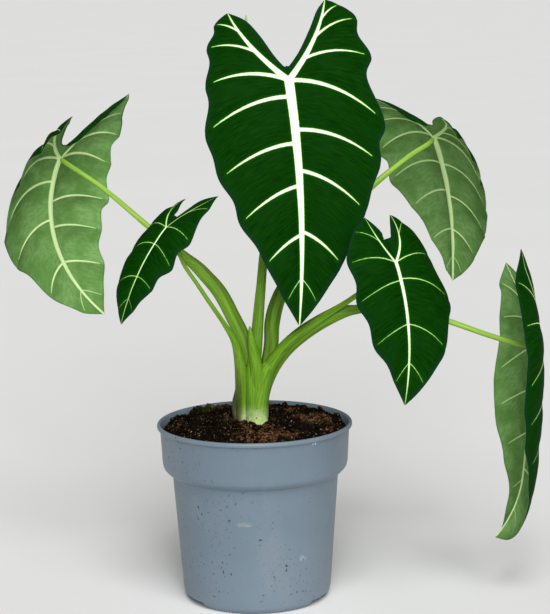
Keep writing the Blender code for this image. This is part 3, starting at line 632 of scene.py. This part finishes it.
def fine_positions(starts, margin, marks, step):
    """Stations and the rows between them, which close up beside each rib, counted in stations."""
    positions = []
    for index in range(len(starts) - 1):
        at_margin = float(np.linalg.norm(margin[index + 1] - margin[index]))
        at_spine = starts[index + 1] - starts[index]
        mean = (at_margin + at_spine) / 2
        count = math.ceil(max(at_margin, at_spine) / step)
        positions += [index + part / count for part in range(count)]
        for aside in RIB_SIDES:
            positions += [index + aside / mean] * bool(marks[index])
            positions += [index + 1 - aside / mean] * bool(marks[index + 1])
    return positions + [len(starts) - 1]


def thinned(values, kept, gap):
    """The values in order, without those that lie too close together, but with all the kept ones."""
    rows = []
    for value in sorted({*values, *kept}):
        if rows and value - rows[-1] < gap:
            if value not in kept:
                continue
            if rows[-1] not in kept:
                rows.pop()
        rows.append(value)
    return np.array(rows, float)


def spine_points(distance, lobe_tip):
    """Flat points of the spine: on the midrib ahead of the junction, on the lobe's vein behind it."""
    lobe_length = float(np.linalg.norm(lobe_tip))
    share = np.maximum(0, -distance / lobe_length)[:, None]
    outward = np.array((lobe_tip[1], -lobe_tip[0])) / lobe_length
    ahead = np.maximum(0, distance)[:, None] * np.array((1.0, 0.0))
    return ahead + share * lobe_tip + 4 * LOBE_VEIN_BOW * lobe_length * share * (1 - share) * outward


def from_vein(points, line, half_widths):
    """How far flat points lie from the edge of a vein, less than 0 inside, and its half width there."""
    start, run = line[:-1], np.diff(line, axis=0)
    offset = points[:, None] - start
    share = np.clip((offset * run).sum(-1) / np.maximum((run ** 2).sum(-1), 1e-9), 0, 1)
    away = np.linalg.norm(offset - share[..., None] * run, axis=-1)
    widths = half_widths[:-1] + share * np.diff(half_widths)
    nearest = (away - widths).argmin(axis=1)
    rows = np.arange(len(points))
    return (away - widths)[rows, nearest], widths[rows, nearest]


def half_veins(leaf, starts, marks, margin, row_at):
    """The lines and half widths of one half's veins: the midrib, its lobe's vein and its side veins."""
    midrib_width, lateral_width = leaf["vein_widths"]
    length, lobe_length = leaf["length"], -starts[0]
    ahead = np.linspace(0, length, 60)
    midrib = np.stack([ahead, 0 * ahead], axis=1)
    veins = [(midrib, midrib_width * (1 - MIDRIB_TAPER * (ahead / length) ** 1.35))]
    behind = np.linspace(starts[0], 0, 30)
    tapered = 0.1 + 0.9 * (1 + behind / lobe_length) ** 0.8
    veins.append((spine_points(behind, margin[0]), LOBE_VEIN_SHARE * midrib_width * tapered))
    reach = COLUMNS[::2] * LATERAL_END
    for index in np.flatnonzero(marks):
        weaker = 1.0
        if starts[index] < 0:
            weaker = LOBE_LATERAL_SHARE - LOBE_LATERAL_FADE * -starts[index] / lobe_length
        along = max(0.0, starts[index]) / length
        last = min(1.0, max(0.0, (along - LAST_LATERALS_FROM) / LAST_LATERALS_OVER))
        nearer_tip = 1 - LATERAL_FADE * along - LAST_LATERALS_FADE * last
        widths = lateral_width * weaker * nearer_tip * (1 - (reach / LATERAL_END) ** 1.6) ** 0.7
        veins.append((row_at(float(index), reach), widths))
    return veins


def rows_across(leaf, edge_name, lobe_tip, distance, edge, columns, bow):
    """Rows from spine to edge, with the edge rolled in: widths, flat points, drop and way to the edge."""
    spine = spine_points(distance, lobe_tip)
    width = np.linalg.norm(edge - spine, axis=1)[:, None]
    radius, angle = leaf.get("rolled", {}).get(edge_name, (0.0, 0.0))
    in_lobe = np.clip(-distance / float(np.linalg.norm(lobe_tip)) * ROLL_GROWTH, 0, 1)
    radius = np.minimum(radius * in_lobe, 0.4 * width[:, 0])[:, None]
    strip = radius * math.radians(angle)
    reach = (width - radius + strip) * columns
    beyond = np.maximum(0, reach - (width - radius))
    turned_by = beyond / np.maximum(radius, 1e-6)
    out = np.where(beyond > 0, width - radius + radius * np.sin(turned_by), reach)
    across = out / np.maximum(width, 1e-6)
    flat = spine[:, None] + (edge - spine)[:, None] * across[..., None]
    flat[..., 0] -= bow * width * 4 * across * (1 - across)
    return width, flat, -radius * (1 - np.cos(turned_by)), width - radius + strip - reach


def half_blade(leaf, side, positions):
    """The outer and inner sheets of one half: flat points, lift, and what each point carries."""
    starts, margin, marks = half_outline(leaf, side)
    last = len(starts) - 1
    quilt, wave = (size * leaf["length"] * leaf.get("waves", 1.0) for size in (QUILT, MARGIN_WAVE))

    def rows_at(positions, columns):
        distance = np.interp(positions, np.arange(last + 1), starts)
        edge = along_spline(margin, positions)
        return distance, *rows_across(leaf, side, margin[0], distance, edge, columns, RIB_BOW)

    distance, width, flat, drop, to_margin = rows_at(positions, COLUMNS)
    ribness = np.interp(positions, np.arange(last + 1), marks)[:, None]
    fade = np.sqrt(np.clip(np.sin(np.pi * positions / last), 0, 1))[:, None]
    puffed = np.sin((1 - ribness) * np.pi / 2)
    lift = fade * (puffed * (quilt * np.sin(np.pi * COLUMNS) + wave * COLUMNS ** 2)
                   - 0.5 * ribness * wave * COLUMNS ** 2)
    outer = (flat, lift + drop, to_margin, width * COLUMNS, distance)
    behind = distance[distance <= 0]
    round_sinus = (-1.02 * leaf["sinus"], SINUS_WIDTH * leaf["sinus"])
    rim_points = np.array([(-leaf["sinus"], 0), round_sinus, *leaf[side + "_inner"], margin[0]], float)
    rim = along_spline(rim_points, behind / starts[0] * (len(rim_points) - 1))
    inner_rows = rows_across(leaf, side + "_inner", margin[0], behind, rim, INNER_COLUMNS, 0)
    width, flat, drop, to_margin = inner_rows
    inner = (flat, drop, to_margin, -width * INNER_COLUMNS, behind)
    veins = half_veins(leaf, starts, marks, margin, lambda at, reach: rows_at(np.array([at]), reach)[2][0])
    return outer, inner, veins


def sheet(name, leaf, frames, sign, half, veins, flipped):
    """One sheet of a blade as a grid, hung in its place, with its veins, margin and thickness noted."""
    flat, lift, to_margin, from_spine, distance = half
    rows, columns = lift.shape
    points = flat.reshape(-1, 2)
    gap = np.full(len(points), NO_VEIN_NEAR)
    rib = np.zeros(len(points))
    for line, half_widths in veins:
        away, half_width = from_vein(points, line, half_widths)
        spread = RIB_SPREAD * np.maximum(half_width, 0.05)
        bell = 0.5 + 0.5 * np.cos(np.pi * np.clip((away + half_width) / spread, 0, 1))
        rib = np.maximum(rib, RIB_SHARE * half_width * bell)
        gap = np.minimum(gap, away)
    ruffle = np.array([noise.noise(Vector((x / 7, y / 7, 3 * sign))) for x, y in points])
    ruffle *= np.clip(to_margin.ravel() / 3, 0, 1) * np.clip(gap / 3, 0, 1)
    hanging = points * np.array((1.0, sign))
    places = hung(leaf, frames, hanging, lift.ravel() + RUFFLE * ruffle).reshape(rows, columns, 3)
    along = np.repeat(distance[:, None], columns, axis=1)
    carried = {
        "vein": gap.reshape(rows, columns),
        "margin": to_margin,
        "rib": rib.reshape(rows, columns),
        "upper": np.ones((rows, columns)),
        "grown": np.stack([along, from_spine, np.full((rows, columns), 60.0 * sign)], axis=-1),
    }
    if flipped:
        places = places[::-1]
        carried = {label: numbers[::-1] for label, numbers in carried.items()}
    carried = {label: numbers.reshape(-1, *numbers.shape[2:]) for label, numbers in carried.items()}
    return grid_piece(name, columns, rows, places.reshape(-1, 3), carried)


def hanging_blade(name, leaf):
    """One blade: four sheets joined along its veins, then thickened downwards, most along its ribs."""
    frames = midrib_frames(leaf)
    step = ROW_STEP * max(0.75, leaf["length"] / BLADES["leaf_1"]["length"])
    outlines = {side: half_outline(leaf, side) for side in ("left", "right")}
    ahead, ribs = [], []
    lobe_rows = {}
    for side, (starts, margin, marks) in outlines.items():
        stations = np.arange(len(starts))
        positions = np.array(fine_positions(starts, margin, marks, step))
        distances = np.interp(positions, stations, starts)
        ahead += [float(distance) for distance in distances if distance > 0]
        ribs += [0.0, float(leaf["length"])]
        ribs += [float(starts[i]) for i in np.flatnonzero(marks) if starts[i] > 0]
        kept = [float(i) for i in stations if starts[i] <= 0]
        lobe_rows[side] = thinned([float(p) for p in positions if p < kept[-1]], kept, 0.02)
    ahead = thinned(ahead, ribs, 0.4)
    sheets = []
    for side, sign in (("left", -1), ("right", 1)):
        starts, margin, marks = outlines[side]
        front = np.interp(ahead[1:], starts, np.arange(len(starts)))
        outer, inner, veins = half_blade(leaf, side, np.concatenate([lobe_rows[side], front]))
        sheets.append(sheet(name, leaf, frames, sign, outer, veins, sign > 0))
        sheets.append(sheet(name, leaf, frames, sign, inner, veins, sign < 0))
    blade = joined(name, sheets)
    open_whole()
    bpy.ops.mesh.remove_doubles(threshold=0.02 * MM)
    bpy.ops.mesh.dissolve_degenerate(threshold=0.01 * MM)
    bpy.ops.object.mode_set(mode="OBJECT")
    count = len(blade.data.vertices)
    ribs = np.empty(count, np.float32)
    blade.data.attributes["rib"].data.foreach_get("value", ribs)
    thickest = BLADE_THICKNESS + float(ribs.max())
    group = blade.vertex_groups.new(name="thickness")
    for index, rib in enumerate(ribs):
        group.add([index], (BLADE_THICKNESS + float(rib)) / thickest, "REPLACE")
    modified(blade, "SOLIDIFY", thickness=thickest * MM, offset=-1, vertex_group="thickness")
    upper = np.zeros(len(blade.data.vertices), np.float32)
    upper[:count] = 1
    blade.data.attributes["upper"].data.foreach_set("value", upper)
    blade.vertex_groups.clear()
    return blade


def own(place, label, output):
    """A named value that the piece carries: output 1 is a vector and 2 a number."""
    return place.node("ShaderNodeAttribute", {"attribute_name": label}, {}, output)


def velvet():
    """Dark brushed velvet above, smooth mid green below, and pale veins with yellow-green edges."""
    material, shader, place = finish("blade_velvet", specular=0.012)
    grown = own(place, "grown", 1)
    vein = own(place, "vein", 2)
    margin = own(place, "margin", 2)
    upper = own(place, "upper", 2).step(0.3, 0.7)
    brushed = grown.stretched(1.3, 0.10, 1).grain(1.0, 4, 0.6)
    cloudy = place.grain(70, 3)
    pile = place.grain(2600, 2)
    top = brushed.step(0.32, 0.70).both((0.0010, 0.022, 0.0004), (0.0036, 0.042, 0.0010))
    top = (cloudy.step(0.42, 0.70) * 0.6).both(top, (0.0026, 0.034, 0.0022))
    # painted sheen: a paler bluish green within about 3 mm of the margin stands in for the velvet's grazing
    # reflection
    top = (margin.step(3.2, 0.2) * 0.6).both(top, (0.0060, 0.030, 0.0140))
    top = (vein.step(2.2, 0.0) * 0.5).both(top, (0.0035, 0.066, 0.0008))
    ragged = vein + (grown.stretched(1.9, 0.5, 1).grain(1.0, 3, 0.65) - 0.5) * 0.55
    in_vein = ragged.step(0.12, -0.12)
    core = ragged.step(-0.10, -0.55)
    top = in_vein.both(top, core.both((0.38, 0.64, 0.16), (0.92, 1.00, 0.86)))
    below = cloudy.step(0.35, 0.65).both((0.118, 0.255, 0.062), (0.188, 0.355, 0.112))
    net = grown.stretched(0.55, 0.25, 1).grain(1.0, 4, 0.65).step(0.40, 0.62)
    below = (net * 0.40).both(below, (0.075, 0.195, 0.040))
    below = (margin.step(1.2, 0.2) * 0.5).both(below, (0.060, 0.150, 0.045))
    pale = vein.step(0.35, -0.30)
    below = pale.both(below, (0.66, 0.86, 0.40))
    roughness = upper * 0.08 + pile * 0.12 + 0.40
    coat(shader, upper.both(below, top), roughness, brushed * 0.7 + pile * 0.3, 0.00035)
    return material


blade_velvet = velvet()
for name, leaf in BLADES.items():
    blade = hanging_blade(f"blade_{name[-1]}", leaf)
    finished(blade, blade_velvet, 50)
    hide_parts(name)

# The stalks
# Fleshy green stalks that sheathe each other at the foot and grow from a short corm in the soil. Each is a
# sheet wrapped round its route, with the two thin edges of its sheath raised on the side that faces the
# middle of the plant, and brown where they have dried.

# Each has its route, the radius at each point of it and the length of its sheath. The first six carry the
# leaves, the seventh the new leaf, and the rest make up the trunk.
STALKS = {
    "stalk_1": (
        ((0, -5, 104), (0, -5, 125), (0, -3, 143), (2, 0, 160), (5, 1, 190), (8, 2, 212), (15, 1, 246),
         (21, -1, 288)),
        (5.6, 5.2, 4.8, 3.9, 3.1, 2.4, 2.1, 1.8), 60,
    ),
    "stalk_2": (
        ((-5, 3, 104), (-4, 3, 125), (-3, 2, 142), (-5, 2, 158), (-11, 4, 172), (-20, 7, 189),
         (-31, 9, 202), (-41, 12, 211), (-53, 16, 221), (-64, 22, 229), (-91, 38, 250)),
        (5.8, 5.6, 5.2, 4.6, 4.5, 4.3, 3.9, 2.9, 1.9, 1.7, 1.5), 122,
    ),
    "stalk_3": (
        ((-6, -1, 104), (-7, -2, 125), (-8, -5, 145), (-11, -9, 161), (-17, -13, 173), (-25, -16, 186),
         (-33, -18, 199), (-41, -18, 212)),
        (4.6, 4.4, 3.6, 2.2, 1.5, 1.3, 1.2, 1.2), 46,
    ),
    "stalk_4": (
        ((2, 4, 104), (4, 4, 125), (8, 4, 140), (11, 5, 156), (12, 8, 170), (17, 12, 186), (30, 20, 206),
         (49, 29, 227), (75, 40, 249), (98, 49, 266)),
        (5.2, 4.8, 4.6, 4.4, 4.6, 4.2, 3.0, 2.4, 2.0, 1.5), 96,
    ),
    "stalk_5": (
        ((2, -2, 104), (4, -3, 125), (9, -4, 142), (17, -7, 155), (27, -10, 165), (42, -13, 176),
         (54, -16, 184), (63, -21, 191), (72, -27, 199)),
        (4.8, 4.6, 4.0, 3.4, 3.0, 2.4, 1.7, 1.5, 1.4), 52,
    ),
    "stalk_6": (
        ((3, 1, 104), (4, 0, 125), (10, -1, 142), (20, -3, 156), (34, -6, 168), (50, -9, 177),
         (63, -9, 180), (80, -8, 180), (99, -6, 177), (119, -4, 171), (143, -3, 162)),
        (5.4, 5.2, 5.1, 4.9, 4.8, 4.2, 2.8, 2.0, 1.8, 1.7, 1.6), 106,
    ),
    "stalk_7": (
        ((-1, 7, 104), (-1, 8, 130), (2, 7, 160), (6, 8, 205), (9, 11, 235), (6, 14, 262), (3, 15, 278)),
        (4.2, 3.6, 3.0, 2.2, 1.9, 1.7, 1.6), 60,
    ),
    "sheath_nub": (
        ((3, -2, 106), (3, -5, 124), (1.5, -7, 146), (-0.5, -8, 160), (-2, -8, 171)),
        (3.6, 4.4, 3.7, 2.5, 0.5), 0,
    ),
    "stem_foot": (
        ((2, -6, 102), (2, -6.5, 108), (2, -6, 114), (3, -5.5, 124), (6, -4.5, 138), (11, -4.5, 148)),
        (7.6, 7.4, 6.0, 5.4, 4.9, 4.0), 0,
    ),
    "old_sheath": (
        ((-6, 4, 104), (-7.5, 4, 113), (-7.5, 4, 120), (-6.5, 3, 130), (-5.5, 2.5, 144)),
        (5.2, 5.9, 6.2, 4.9, 4.6), 0,
    ),
    "corm": (((0, 0, 90), (0, 0, 94), (0, 0, 103), (0, 0, 108)), (9.5, 11.5, 11.5, 8.5), 0),
}
OLD_SHEATH_NUMBER = 1 + list(STALKS).index("old_sheath")
PATTERN_SPACING = 20
STALK_STEP = 1.6
STALK_AROUND = 32
STALK_TURN = 6.5
STALK_SEAT = 1.2
SHEATH_OPENING = 1.15
SHEATH_FADE = 8
RIDGE_WIDTH = 0.55
RIDGE_HEIGHT = 0.30
GROOVE_WIDTH = 1.5
GROOVE_DEPTH = 0.35
OVAL = 0.03


def wrapped(name, route, radii, sheath, number):
    """A stalk: a sheet wrapped round its route, closed at both ends, with its sheath's edges raised."""
    knots = np.array([(*point, radius) for point, radius in zip(route, radii)], float)
    spans = np.linalg.norm(np.diff(knots[:, :3], axis=0), axis=1)
    counts = np.maximum(1, np.round(spans / STALK_STEP)).astype(int)
    parts = [index + np.arange(count) / count for index, count in enumerate(counts)]
    positions = np.concatenate([*parts, [len(counts)]])
    rows = along_spline(knots, positions)
    middles, widths = rows[:, :3], rows[:, 3]
    ahead = np.gradient(middles, axis=0)
    ahead /= np.linalg.norm(ahead, axis=1)[:, None]
    lengths = np.concatenate([[0], np.cumsum(np.linalg.norm(np.diff(middles, axis=0), axis=1))])
    inner = np.empty_like(ahead)
    facing = np.array((0.0, 0.0, 1.0)) + 0.2 * np.array((-route[-1][0], -route[-1][1], 0.0)) / 100
    for index in range(len(rows) - 1, -1, -1):
        facing = facing - ahead[index] * float(facing @ ahead[index])
        facing /= np.linalg.norm(facing)
        inner[index] = facing
    sideways = np.cross(ahead, inner)
    around = np.linspace(0, math.tau, STALK_AROUND + 1)
    opening = SHEATH_OPENING * np.clip(1 - lengths / max(sheath, 1), 0, 1) ** 0.5
    sheathed = np.clip((sheath - lengths) / SHEATH_FADE, 0, 1)
    from_inner = np.abs((around + math.pi) % math.tau - math.pi)[None, :]
    from_edge = (from_inner - opening[:, None]) * widths[:, None]
    ridge = np.exp(-(from_edge / RIDGE_WIDTH) ** 2) * sheathed[:, None]
    groove = np.clip(-from_edge / GROOVE_WIDTH, 0, 1) * sheathed[:, None]
    spread = widths[:, None] * (1 + OVAL * np.cos(2 * around)[None, :])
    spread = spread + RIDGE_HEIGHT * ridge - GROOVE_DEPTH * groove
    round_end = np.sqrt(np.clip(1 - (1 - np.minimum(lengths[-1] - lengths, widths) / widths) ** 2, 0, 1))
    spread = spread * round_end[:, None]
    spread[0] = 0
    out = np.cos(around)[None, :, None] * inner[:, None, :]
    out = out + np.sin(around)[None, :, None] * sideways[:, None, :]
    places = middles[:, None, :] + spread[:, :, None] * out
    lengthwise = np.repeat(lengths[:, None], STALK_AROUND + 1, axis=1)
    apart = PATTERN_SPACING * number
    grown = np.stack([lengthwise, spread * np.cos(around), spread * np.sin(around) + apart], axis=-1)
    values = {"grown": grown.reshape(-1, 3), "edge": ridge.ravel(), "along": lengthwise.ravel()}
    stalk = grid_piece(name, STALK_AROUND + 1, len(rows), places.reshape(-1, 3), values)
    open_whole()
    bpy.ops.mesh.remove_doubles(threshold=0.002 * MM)
    close_faced_out()
    return stalk


def stalk_green():
    """Fresh green with fine lengthwise streaks, pale at the foot, brown along the sheaths' dry edges."""
    material, shader, place = finish("stalk_green", specular=0.14)
    grown = own(place, "grown", 1)
    along = own(place, "along", 2)
    edge = own(place, "edge", 2)
    streaks = grown.stretched(0.035, 1.6, 1.6).grain(1.0, 4, 0.6)
    green = streaks.step(0.32, 0.68).both((0.075, 0.190, 0.006), (0.165, 0.345, 0.020))
    upper = along.step(95, 150)
    light = streaks.step(0.35, 0.65).both((0.19, 0.36, 0.030), (0.30, 0.50, 0.075))
    green = upper.both(green, light)
    blush = grown.stretched(0.03, 0.7, 0.7).grain(1.0, 3, 0.6).step(0.52, 0.70)
    blush = blush * along.step(130, 40) * along.step(20, 40)
    green = (blush * 0.45).both(green, (0.16, 0.17, 0.075))
    dry = edge * streaks.step(0.30, 0.55)
    green = (dry * 0.85).both(green, (0.085, 0.065, 0.035))
    height = place.axis(2)
    foot = height.step(0.1235, 0.112)
    pale = place.grain(300, 3).step(0.35, 0.65).both((0.36, 0.50, 0.16), (0.58, 0.66, 0.38))
    green = (foot * 0.8).both(green, pale)
    which = grown.axis(2)
    old_place = OLD_SHEATH_NUMBER * PATTERN_SPACING
    old = which.step(old_place - 9, old_place - 7) * which.step(old_place + 9, old_place + 7)
    left_back = place.axis(0).step(-0.0055, -0.0095) * height.step(0.150, 0.130)
    old = old.maths("MAXIMUM", old, left_back)
    worn = place.stretched(1, 1, 0.5).grain(160, 4, 0.65).step(0.38, 0.58)
    green = (old * 0.8).both(green, worn.both((0.075, 0.100, 0.022), (0.034, 0.022, 0.010)))
    dirt = place.grain(520, 3, 0.65).step(0.60, 0.68) * height.step(0.128, 0.112)
    green = (dirt * 0.9).both(green, (0.020, 0.013, 0.008))
    coat(shader, green, streaks * 0.25 + 0.32, streaks + place.grain(900, 2) * 0.25, 0.00018)
    return material


stalks = []
for number, (name, (route, radii, sheath)) in enumerate(STALKS.items(), 1):
    if number <= len(BLADES):
        junction, ahead, up = (rows[len(rows) // 2] for rows in midrib_frames(BLADES[f"leaf_{number}"]))
        route = (*route, tuple(junction - up * STALK_TURN), tuple(junction - up * STALK_SEAT))
        radii = (*radii, radii[-1], 0.9 * radii[-1])
    stalks.append(wrapped(name, route, radii, sheath, number))
stems = joined("stalks_and_corm", stalks)
finished(stems, stalk_green(), 50)
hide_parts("stems")

# The new leaf
# The next leaf, still rolled up into a slim pale spindle on its own stalk behind the largest blade. Its
# free edge winds round it as a raised seam.

NEW_LEAF_Y = 15
NEW_LEAF_X = (3, 2, 1, 0, -1)
NEW_LEAF_Z = (278.4, 288, 305, 332, 357)
NEW_LEAF_RADII = (1.6, 2.7, 3.3, 2.2, 0.5)
NEW_LEAF_PATTERN = 10
SEAM_TURNS = 1.6
SEAM_HEIGHT = 0.35
SEAM_WIDTH = 1.2


def new_leaf_green():
    """Pale yellow-green with fine streaks and a darker line along the free edge."""
    material, shader, place = finish("new_leaf_green", specular=0.35)
    streaks = own(place, "grown", 1).stretched(0.05, 1.5, 1.5).grain(1.0, 4, 0.6)
    green = streaks.step(0.3, 0.7).both((0.22, 0.40, 0.06), (0.36, 0.56, 0.13))
    seam = own(place, "edge", 2).step(0.3, 0.9)
    green = (seam * 0.6).both(green, (0.08, 0.22, 0.03))
    coat(shader, green, streaks * 0.2 + 0.38, streaks, 0.0002)
    return material


spindle_route = [(x, NEW_LEAF_Y, z) for x, z in zip(NEW_LEAF_X, NEW_LEAF_Z)]
spindle = wrapped("furled_leaf", spindle_route, NEW_LEAF_RADII, 0, NEW_LEAF_PATTERN)
edge_values = np.zeros(len(spindle.data.vertices), np.float32)
for index, vertex in enumerate(spindle.data.vertices):
    x, y, z = vertex.co / MM
    share = (z - NEW_LEAF_Z[0]) / (NEW_LEAF_Z[-1] - NEW_LEAF_Z[0])
    middle_x = np.interp(z, NEW_LEAF_Z, NEW_LEAF_X)
    out_x, out_y = x - middle_x, y - NEW_LEAF_Y
    turn_here = (math.atan2(out_y, out_x) - SEAM_TURNS * math.tau * share) % math.tau
    step_out = max(0.0, 1 - turn_here / SEAM_WIDTH)
    reach = math.hypot(out_x, out_y)
    grow = 1 + SEAM_HEIGHT * step_out * min(1, reach) / max(reach, 0.5)
    vertex.co.x = (middle_x + out_x * grow) * MM
    vertex.co.y = (NEW_LEAF_Y + out_y * grow) * MM
    edge_values[index] = step_out
spindle.data.attributes["edge"].data.foreach_set("value", edge_values)
spindle = joined("furled_leaf", [spindle])
finished(spindle, new_leaf_green(), 40)
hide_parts("new_leaf")

# The room
# A plain pale floor, a faint light from all round, one broad lamp above the plant and one before it, and
# the camera at the photograph's angle.

FLOOR_METRES = 400.0
CAMERA_PLACE = (13.7, -1195.5, 386.2)
CAMERA_FALL = math.radians(9.75)
CAMERA_ROLL = math.radians(0.92)
CAMERA_LENS = 116.7
WORLD_LIGHT = 0.14
# Each lamp: how far it is tipped forward, how far it is turned, its strength and its softness in degrees
LAMPS = ((38, 9, 2.3, 40), (68, 3, 1.8, 25))

floor_white, shader, place = finish("floor_white", specular=0.2)
paint = place.grain(3, 2).both((0.80, 0.80, 0.79), (0.84, 0.84, 0.83))
paint.tree.links.new(paint.socket, shader.inputs["Base Color"])
shader.inputs["Roughness"].default_value = 0.8
bpy.ops.mesh.primitive_plane_add(size=FLOOR_METRES)
ground = bpy.context.object
ground.name = "ground"
ground.data.materials.append(floor_white)

world = bpy.data.worlds.new("studio")
world.use_nodes = True
background = world.node_tree.nodes["Background"]
background.inputs["Color"].default_value = (1.0, 1.0, 1.0, 1.0)
background.inputs["Strength"].default_value = WORLD_LIGHT
bpy.context.scene.world = world
for tip, turn, energy, softness in LAMPS:
    bpy.ops.object.light_add(type="SUN", rotation=(math.radians(tip), 0, math.radians(turn)))
    lamp = bpy.context.object
    lamp.data.energy = energy
    lamp.data.angle = math.radians(softness)

bpy.ops.object.camera_add(location=[number * MM for number in CAMERA_PLACE])
camera = bpy.context.object
level = Matrix.Rotation(math.pi / 2 - CAMERA_FALL, 3, "X")
camera.rotation_euler = (level @ Matrix.Rotation(-CAMERA_ROLL, 3, "Z")).to_euler()
camera.data.lens = CAMERA_LENS
camera.data.clip_start = 0.01
camera.data.clip_end = 100
bpy.context.scene.camera = camera
bpy.context.scene.view_settings.view_transform = "Standard"

bpy.context.view_layer.update()
